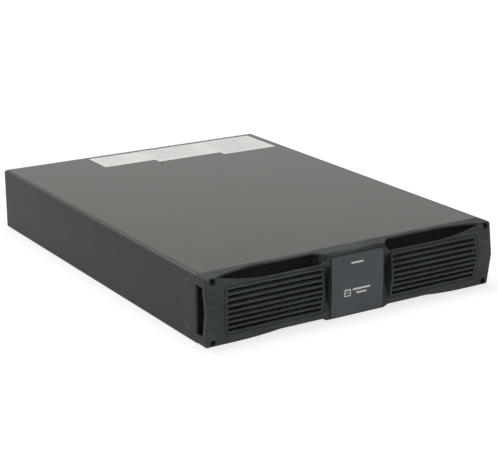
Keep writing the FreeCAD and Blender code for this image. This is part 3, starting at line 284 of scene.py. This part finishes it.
# The inner door, in a matt near black as painted shade, so the grille slots in front of it look
# dark: it takes almost all light.
SHADE_BLACK_DOOR = grained("near black door, painted shade", "101414", "161a1a", 0.8, 0.012, (0.65, 0.75),
                 Specular_IOR_Level=0.2)
metals = (GALVANISED, DARK_ZINC, ZINC, COPPER, BLACKED, SHADE_BLACK_DOOR)
print("made", ", ".join(made.name for made in metals))

# %% [markdown]
# Few things on the pack are pale: the glazed tubes of the fuses, an insulating sheet, the labels
# and what is printed. All of them scatter light inside, so they are plain and not metallic, and
# they stay below pure white, as paper and ink do.

# %% Ceramic, films and print
# Steatite fuse tubes, dipped in a clear glaze: cream white and shiny.
CERAMIC = grained("glazed fuse ceramic", "c9c6bb", "d8d5ca", 0.4, 0.003, (0.18, 0.26), 10)
# Pressed cellulose sheet for insulation: pale, fibrous and without sheen.
FISH_PAPER = grained("pale insulating sheet", "a3977a", "b5a98b", 1.5, 0.010, (0.62, 0.72))
# Polypropylene label film, coated for print: matt, and a little uneven where it was rolled on.
LABEL_FILM = grained("matt white label film", "d0d1cd", "d9dad6", 0.8, 0.003, (0.48, 0.56), 25)
# Ink pressed through a screen: an opaque white with soft edges.
PRINT_WHITE = grained("white screen print", "f0f2f2", "f7f8f8", 0.15, 0.002, (0.50, 0.60), 5)
# Thermal print that has faded to a pale grey.
PRINT_GREY = grained("faded thermal print", "a9aba9", "b6b8b6", 0.15, 0.002, (0.50, 0.60), 5)
pale = (CERAMIC, FISH_PAPER, LABEL_FILM, PRINT_WHITE, PRINT_GREY)
print("made", ", ".join(made.name for made in pale))

# %% [markdown]
# Each solid says in its record what it is made of, so a table from that word to a finish paints
# the pack in one go. Two solids differ from the others of their kind and are painted after that:
# the inner door, in a matt near black that is painted shade behind the grille slots, and the nuts
# pressed into the sides, which are dull.

# %% Assign the finishes
BY_SLOT = {
    "powder_coated_steel": POWDER_COAT, "galvanised_steel": GALVANISED,
    "moulded_abs": GROUND_ABS, "panel_abs": SATIN_ABS, "label_film": LABEL_FILM,
    "battery_case": BATTERY_ABS, "black_nylon": NYLON, "insulating_film": FISH_PAPER,
    "copper": COPPER, "fuse_body": CERAMIC, "breaker_case": GREY_POLYESTER,
    "breaker_handle": NYLON, "zinc_steel": ZINC, "black_screw": BLACKED,
}
SLOT_OF = {entry["node"]: entry["material_slot"] for entry in frame["record"]["subparts"]}


def paint(piece, finish):
    """Give every face of a solid one finish."""
    slots = piece.data.materials
    if len(slots) == 0:
        slots.append(finish)
    for index in range(len(slots)):
        slots[index] = finish


for name, slot in SLOT_OF.items():
    paint(nodes[name], BY_SLOT[slot])
# the inner door: a matt near black, painted shade for the space behind the grille slots
paint(nodes["battery_door"], SHADE_BLACK_DOOR)
paint(nodes["ear_inserts"], DARK_ZINC)
print("painted", len(SLOT_OF), "solids")

# %% [markdown]
# A new piece is selected alone before an operator shapes it. When it is done, its place goes into
# its mesh and its object stays at the origin, so that its pattern keeps its scale and it moves
# with the solid that carries it.


# %% Working on one piece
def alone(piece):
    deselect()
    piece.select_set(True)
    bpy.context.view_layer.objects.active = piece


def apply_place(piece):
    alone(piece)
    bpy.ops.object.transform_apply(location=True, rotation=True, scale=True)


def apply_modifiers(piece):
    alone(piece)
    for modifier in list(piece.modifiers):
        bpy.ops.object.modifier_apply(modifier=modifier.name)


def finished(piece, finish, body="case"):
    """Paint a new piece in one slot and let it ride on a body."""
    apply_place(piece)
    piece.data.materials.clear()
    piece.data.materials.append(finish)
    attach(piece, body)
    print(piece.name, "has", len(piece.data.polygons), "faces")


settled = sum(solid.location.length == 0 for solid in nodes.values())
print(settled, "of", len(nodes), "solids have their object at the origin")

# %% [markdown]
# Print is a film a few hundredths of a millimetre thick. Each mark starts as a flat grid, is laid
# on its surface by a shrinkwrap, and gets its thickness from a solidify, so it follows the slight
# crown of the panel. The panel has a plain bar near its top, and a battery pictogram with two
# plain bars beside it.

# %% Marks on the panel
FILM = 0.04 * MM
GRID_CELLS = (3, 6)
PANEL_STAND = 2 * MM
PANEL_MARKS = [
    ((-10, 70.4), (9, 72.6)),
    ((-20.5, 28.4), (-10.5, 29.6)), ((-20.5, 36.0), (-10.5, 37.2)),
    ((-20.5, 29.6), (-19.2, 36.0)), ((-11.8, 29.6), (-10.5, 36.0)),
    ((-19.0, 37.2), (-16.8, 38.4)), ((-14.2, 37.2), (-12.0, 38.4)),
    ((-18.0, 32.4), (-16.2, 33.2)), ((-14.8, 32.4), (-13.0, 33.2)),
    ((-7.5, 35.2), (19.5, 37.6)), ((-2, 30.0), (14, 32.4)),
]


def grid(low, high, upright, stand):
    """A flat grid between two corners, in mm. Upright ones face the front, others face up."""
    width, height = (high[0] - low[0]) * MM, (high[1] - low[1]) * MM
    across, up = (low[0] + high[0]) / 2 * MM, (low[1] + high[1]) / 2 * MM
    place = (across, stand, up) if upright else (across, up, stand)
    turn = (math.radians(90), 0, 0) if upright else (0, 0, 0)
    deselect()
    bpy.ops.mesh.primitive_grid_add(x_subdivisions=GRID_CELLS[0], y_subdivisions=GRID_CELLS[1],
                                    size=1, location=place, rotation=turn)
    piece = bpy.context.object
    piece.scale = (width, height, 1)
    apply_place(piece)
    return piece


def printed(name, marks, carrier, upright, stand, finish):
    """Lay marks, given by their corners, on a carrier, as one piece."""
    parts = [grid(low, high, upright, stand) for low, high in marks]
    deselect()
    for part in parts:
        part.select_set(True)
    bpy.context.view_layer.objects.active = parts[0]
    bpy.ops.object.join()
    piece = parts[0]
    piece.name = piece.data.name = name
    wrap = piece.modifiers.new("lay", "SHRINKWRAP")
    wrap.target = nodes[carrier]
    wrap.wrap_method = "PROJECT"
    wrap.use_project_y, wrap.use_project_z = upright, not upright
    wrap.use_positive_direction = True
    wrap.use_negative_direction = True
    wrap.offset = FILM
    film = piece.modifiers.new("film", "SOLIDIFY")
    film.thickness = FILM
    film.offset = -1
    apply_modifiers(piece)
    finished(piece, finish)


panel_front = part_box("centre_panel")[0].y
printed("panel_print", PANEL_MARKS, "centre_panel", True, panel_front - PANEL_STAND, PRINT_WHITE)

# %% [markdown]
# The labels at the back carry close rows of small print. At this distance a row reads as a pale
# grey line, so each row is one plain strip, and the rows stop at different places, as lines of
# text do.

# %% Rows on the labels
LABEL_STAND = 1 * MM
LABEL_MARGIN, ROW_HEIGHT = 7, 1.2
LABEL_ROWS = {
    "label_left": (7, (0.9, 0.55, 0.7)),
    "label_middle": (5, (0.95, 0.8, 0.88, 0.6)),
    "label_right": (5, (0.9, 0.75, 0.95, 0.82, 0.5)),
}


def rows(low, high, pitch, stops):
    """Rows a pitch apart between two corners, in mm. stops says how far each one reaches."""
    marks = []
    for index in range(int((high[1] - low[1]) / pitch)):
        top = high[1] - index * pitch
        stop = low[0] + (high[0] - low[0]) * stops[index % len(stops)]
        marks.append(((low[0], top - ROW_HEIGHT), (stop, top)))
    return marks


label_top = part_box("label_left")[1].z
for label, (pitch, stops) in LABEL_ROWS.items():
    low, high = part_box(label)
    field_low = (low.x / MM + LABEL_MARGIN, low.y / MM + LABEL_MARGIN)
    field_high = (high.x / MM - LABEL_MARGIN, high.y / MM - LABEL_MARGIN)
    printed(f"{label}_print", rows(field_low, field_high, pitch, stops), label, False,
            label_top + LABEL_STAND, PRINT_GREY)

# %% [markdown]
# Each screw head has a cross recess for its driver, punched by a tool whose wings taper towards
# the tip. Here one wing is a bar: a cube, made long and thin, with its lower corners drawn
# together. Two bars at a right angle make the cross.

# %% A cutter for the recess
BAR_SHARE, BOTTOM_SHARE = 0.22, 0.55


def tapered_bar(place, facing, width, depth, turn):
    """A bar across a head, narrower at its bottom. facing points out of the head."""
    deselect()
    bpy.ops.mesh.primitive_cube_add(size=1)
    bar = bpy.context.object
    bar.scale = (width * MM, width * BAR_SHARE * MM, 2 * depth * MM)
    apply_place(bar)
    for corner in bar.data.vertices:
        if corner.co.z < 0:
            corner.co.x *= BOTTOM_SHARE
    bar.rotation_euler = (0, 0, math.radians(turn))
    apply_place(bar)
    bar.rotation_euler = facing.to_track_quat("Z", "Y").to_euler()
    bar.location = place
    apply_place(bar)
    return bar


print("a bar is", BAR_SHARE, "as thick as it is wide")

# %% [markdown]
# A solid of the pack is left alone, and its copy is cut. The loaded faces are loose triangles,
# and a cut needs a closed body, so the corners of the copy are welded first. One solid holds a
# whole set of screws, so they are told apart by following the edges from corner to corner.

# %% A closed copy of the screws
WELD = 0.001 * MM


def screws_of(node):
    """A closed copy of a screw node."""
    piece = nodes[node].copy()
    piece.data = nodes[node].data.copy()
    piece.name = piece.data.name = f"{node}_driven"
    bpy.context.collection.objects.link(piece)
    alone(piece)
    bpy.ops.object.mode_set(mode="EDIT")
    bpy.ops.mesh.select_all(action="SELECT")
    bpy.ops.mesh.remove_doubles(threshold=WELD)
    bpy.ops.mesh.normals_make_consistent(inside=False)
    bpy.ops.object.mode_set(mode="OBJECT")
    return piece


def outer_ends(piece, facing_of):
    """The outer end of each separate screw in a piece, and the way it faces."""
    owner = list(range(len(piece.data.vertices)))

    def root(index):
        while owner[index] != index:
            index = owner[index]
        return index

    for edge in piece.data.edges:
        first, second = (root(index) for index in edge.vertices)
        owner[first] = second
    screws = {}
    for index, vertex in enumerate(piece.data.vertices):
        screws.setdefault(root(index), []).append(vertex.co)
    found = []
    for spots in screws.values():
        low = Vector([min(spot[axis] for spot in spots) for axis in range(3)])
        high = Vector([max(spot[axis] for spot in spots) for axis in range(3)])
        middle = (low + high) / 2
        facing = facing_of(middle)
        reach = Vector([facing[axis] * (high - low)[axis] / 2 for axis in range(3)])
        found.append((middle + reach, facing))
    return found


print("corners within", WELD / MM, "mm of each other are welded")

# %% [markdown]
# The bars cut one after the other, because a cutter that crosses itself leaves nothing behind, and
# each screw is turned by a different angle, as screws end up when driven. The screws in the
# moulding face the front, and those in the lip of the cover face the back. The rear panel's screws
# are sunk in the underside and face down. The flush screws of the inner wall face out of the side
# or the cover that they hold. A recess is a little over half a head across.

# %% Drive the screws
FIRST_TURN, TURN_STEP = 17, 37
SMOOTH_ANGLE = math.radians(30)
NEAR_MIDDLE = 10 * MM


def drive(node, facing_of, width, depth):
    """Cut a cross recess, with its size in mm, in each head of a screw node."""
    piece = screws_of(node)
    found = outer_ends(piece, facing_of)
    for index, (place, facing) in enumerate(found):
        for quarter in (0, 90):
            turn = quarter + FIRST_TURN + TURN_STEP * index
            bar = tapered_bar(place, facing, width, depth, turn)
            cut = piece.modifiers.new("recess", "BOOLEAN")
            cut.operation, cut.solver, cut.object = "DIFFERENCE", "EXACT", bar
            apply_modifiers(piece)
            bpy.data.objects.remove(bar, do_unlink=True)
    alone(piece)
    bpy.ops.object.shade_smooth_by_angle(angle=SMOOTH_ANGLE)
    finished(piece, BY_SLOT[SLOT_OF[node]])
    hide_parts(node)
    print(node, "has", len(found), "recesses")


def outward(middle):
    """The side screws face away from the middle, the one in the cover faces up."""
    if abs(middle.x) < NEAR_MIDDLE:
        return Vector((0, 0, 1))
    return Vector((math.copysign(1, middle.x), 0, 0))


drive("bezel_screws", lambda middle: Vector((0, -1, 0)), 4.0, 1.1)
drive("cover_screws", lambda middle: Vector((0, 1, 0)), 3.2, 1.0)
drive("rear_panel_screws", lambda middle: Vector((0, 0, -1)), 3.4, 1.0)
drive("bulkhead_screws", outward, 3.4, 1.0)

# %% [markdown]
# The studio is a white sweep that goes over into a dark ceiling. Its light on the object keeps to
# a plain level, while the camera, reflections and glass all see the same white ground. One switch
# made from the kind of ray does that, first for the world, which is the sweep's far end.

# %% World
WORLD_LIGHT = 0.14
SWEEP, CEILING = 1.0, 0.04
SWEEP_TOP, CEILING_START = math.sin(math.radians(17)), math.sin(math.radians(25))
WHITE = linear("ffffff")


def seen_by_eye(tree):
    """1 for rays from the camera, from a reflection or through glass, 0 for diffuse light."""
    rays = add(tree, "ShaderNodeLightPath")
    first = add(tree, "ShaderNodeMath", None,
                {0: (rays, "Is Camera Ray"), 1: (rays, "Is Glossy Ray")}, operation="MAXIMUM")
    return add(tree, "ShaderNodeMath", None,
               {0: (first, "Value"), 1: (rays, "Is Transmission Ray")}, operation="MAXIMUM")


world = bpy.data.worlds.new("studio")
bpy.context.scene.world = world
world.use_nodes = True
tree = world.node_tree
tree.nodes.clear()
way = add(tree, "ShaderNodeTexCoord")
height = add(tree, "ShaderNodeSeparateXYZ", links={"Vector": (way, "Generated")})
backdrop = add(tree, "ShaderNodeMapRange",
               {"From Min": SWEEP_TOP, "From Max": CEILING_START,
                "To Min": SWEEP - WORLD_LIGHT, "To Max": CEILING - WORLD_LIGHT},
               {"Value": (height, "Z")})
seen = seen_by_eye(tree)
level = add(tree, "ShaderNodeMath", {2: WORLD_LIGHT},
            {0: (seen, "Value"), 1: (backdrop, "Result")}, operation="MULTIPLY_ADD")
background = add(tree, "ShaderNodeBackground", {"Color": WHITE}, {"Strength": (level, "Value")})
add(tree, "ShaderNodeOutputWorld", links={"Surface": (background, "Background")})
print("the world lights at", WORLD_LIGHT)

# %% [markdown]
# The floor is white paper that keeps the pack's shadow. For the eye it is part diffuse, which
# takes the shadow, and part glow, which rises with the distance from the pack, because the lamps
# light the far floor less. For diffuse light it is a mid grey, so it throws little light up.

# %% Floor
FLOOR_DROP = 0.3 * MM
FLOOR_SIZE = 14
GLOW_REACH, GLOW = (0.5, 1.6), (0.74, 0.97)

deselect()
bpy.ops.mesh.primitive_plane_add(size=FLOOR_SIZE, location=(0, 0, cad_low.z - FLOOR_DROP))
floor = bpy.context.object
floor.name = "studio_floor"
paper, tree, place = start("white paper sweep")
seen = seen_by_eye(tree)
bounce = add(tree, "ShaderNodeBsdfDiffuse", {"Color": linear("6b6b6b")})
shadow = add(tree, "ShaderNodeBsdfDiffuse", {"Color": linear("959595")})
reach = add(tree, "ShaderNodeVectorMath", {1: (0, 0, 0)}, {0: (place, "Object")},
            operation="DISTANCE")
rise = add(tree, "ShaderNodeMapRange",
           {"From Min": GLOW_REACH[0], "From Max": GLOW_REACH[1],
            "To Min": GLOW[0], "To Max": GLOW[1]}, {"Value": (reach, "Value")})
glow = add(tree, "ShaderNodeEmission", {"Color": WHITE}, {"Strength": (rise, "Result")})
shown = add(tree, "ShaderNodeAddShader", None, {0: (shadow, "BSDF"), 1: (glow, "Emission")})
mix = add(tree, "ShaderNodeMixShader", None,
          {0: (seen, "Value"), 1: (bounce, "BSDF"), 2: (shown, "Shader")})
add(tree, "ShaderNodeOutputMaterial", links={"Surface": (mix, "Shader")})
floor.data.materials.append(paper)
print("the floor lies", round((cad_low.z - floor.location.z) / MM, 2), "mm under the pack")

# %% [markdown]
# One large soft lamp hangs above the pack, so upper faces are lighter than upright ones. Two
# weaker lamps fill in the front and the back. They are wide, so that the satin cover mirrors
# them as a soft sheen, and not as a hot spot.

# %% Lamps
MIDDLE = (0, 0, 0.05)


def soft_lamp(name, place, width, height, watts):
    """A rectangular lamp that faces the middle of the pack."""
    deselect()
    bpy.ops.object.light_add(type="AREA", location=place)
    lamp = bpy.context.object
    lamp.name = name
    lamp.data.shape = "RECTANGLE"
    lamp.data.size, lamp.data.size_y = width, height
    lamp.data.energy = watts
    lamp.rotation_euler = (Vector(MIDDLE) - Vector(place)).to_track_quat("-Z", "Y").to_euler()
    print("lamp", name, watts, "W")


soft_lamp("key", (0.05, 0.20, 1.95), 1.2, 1.0, 28)
soft_lamp("front", (-0.60, -1.40, 0.85), 1.6, 1.1, 12)
soft_lamp("rear", (-0.50, 1.35, 1.25), 1.0, 0.7, 7)

# %% [markdown]
# What was added here must keep to the size of the solids, whose box is printed when they
# are loaded. The Standard view shows colours as they are written.

# %% Finish
bpy.context.scene.view_settings.view_transform = "Standard"
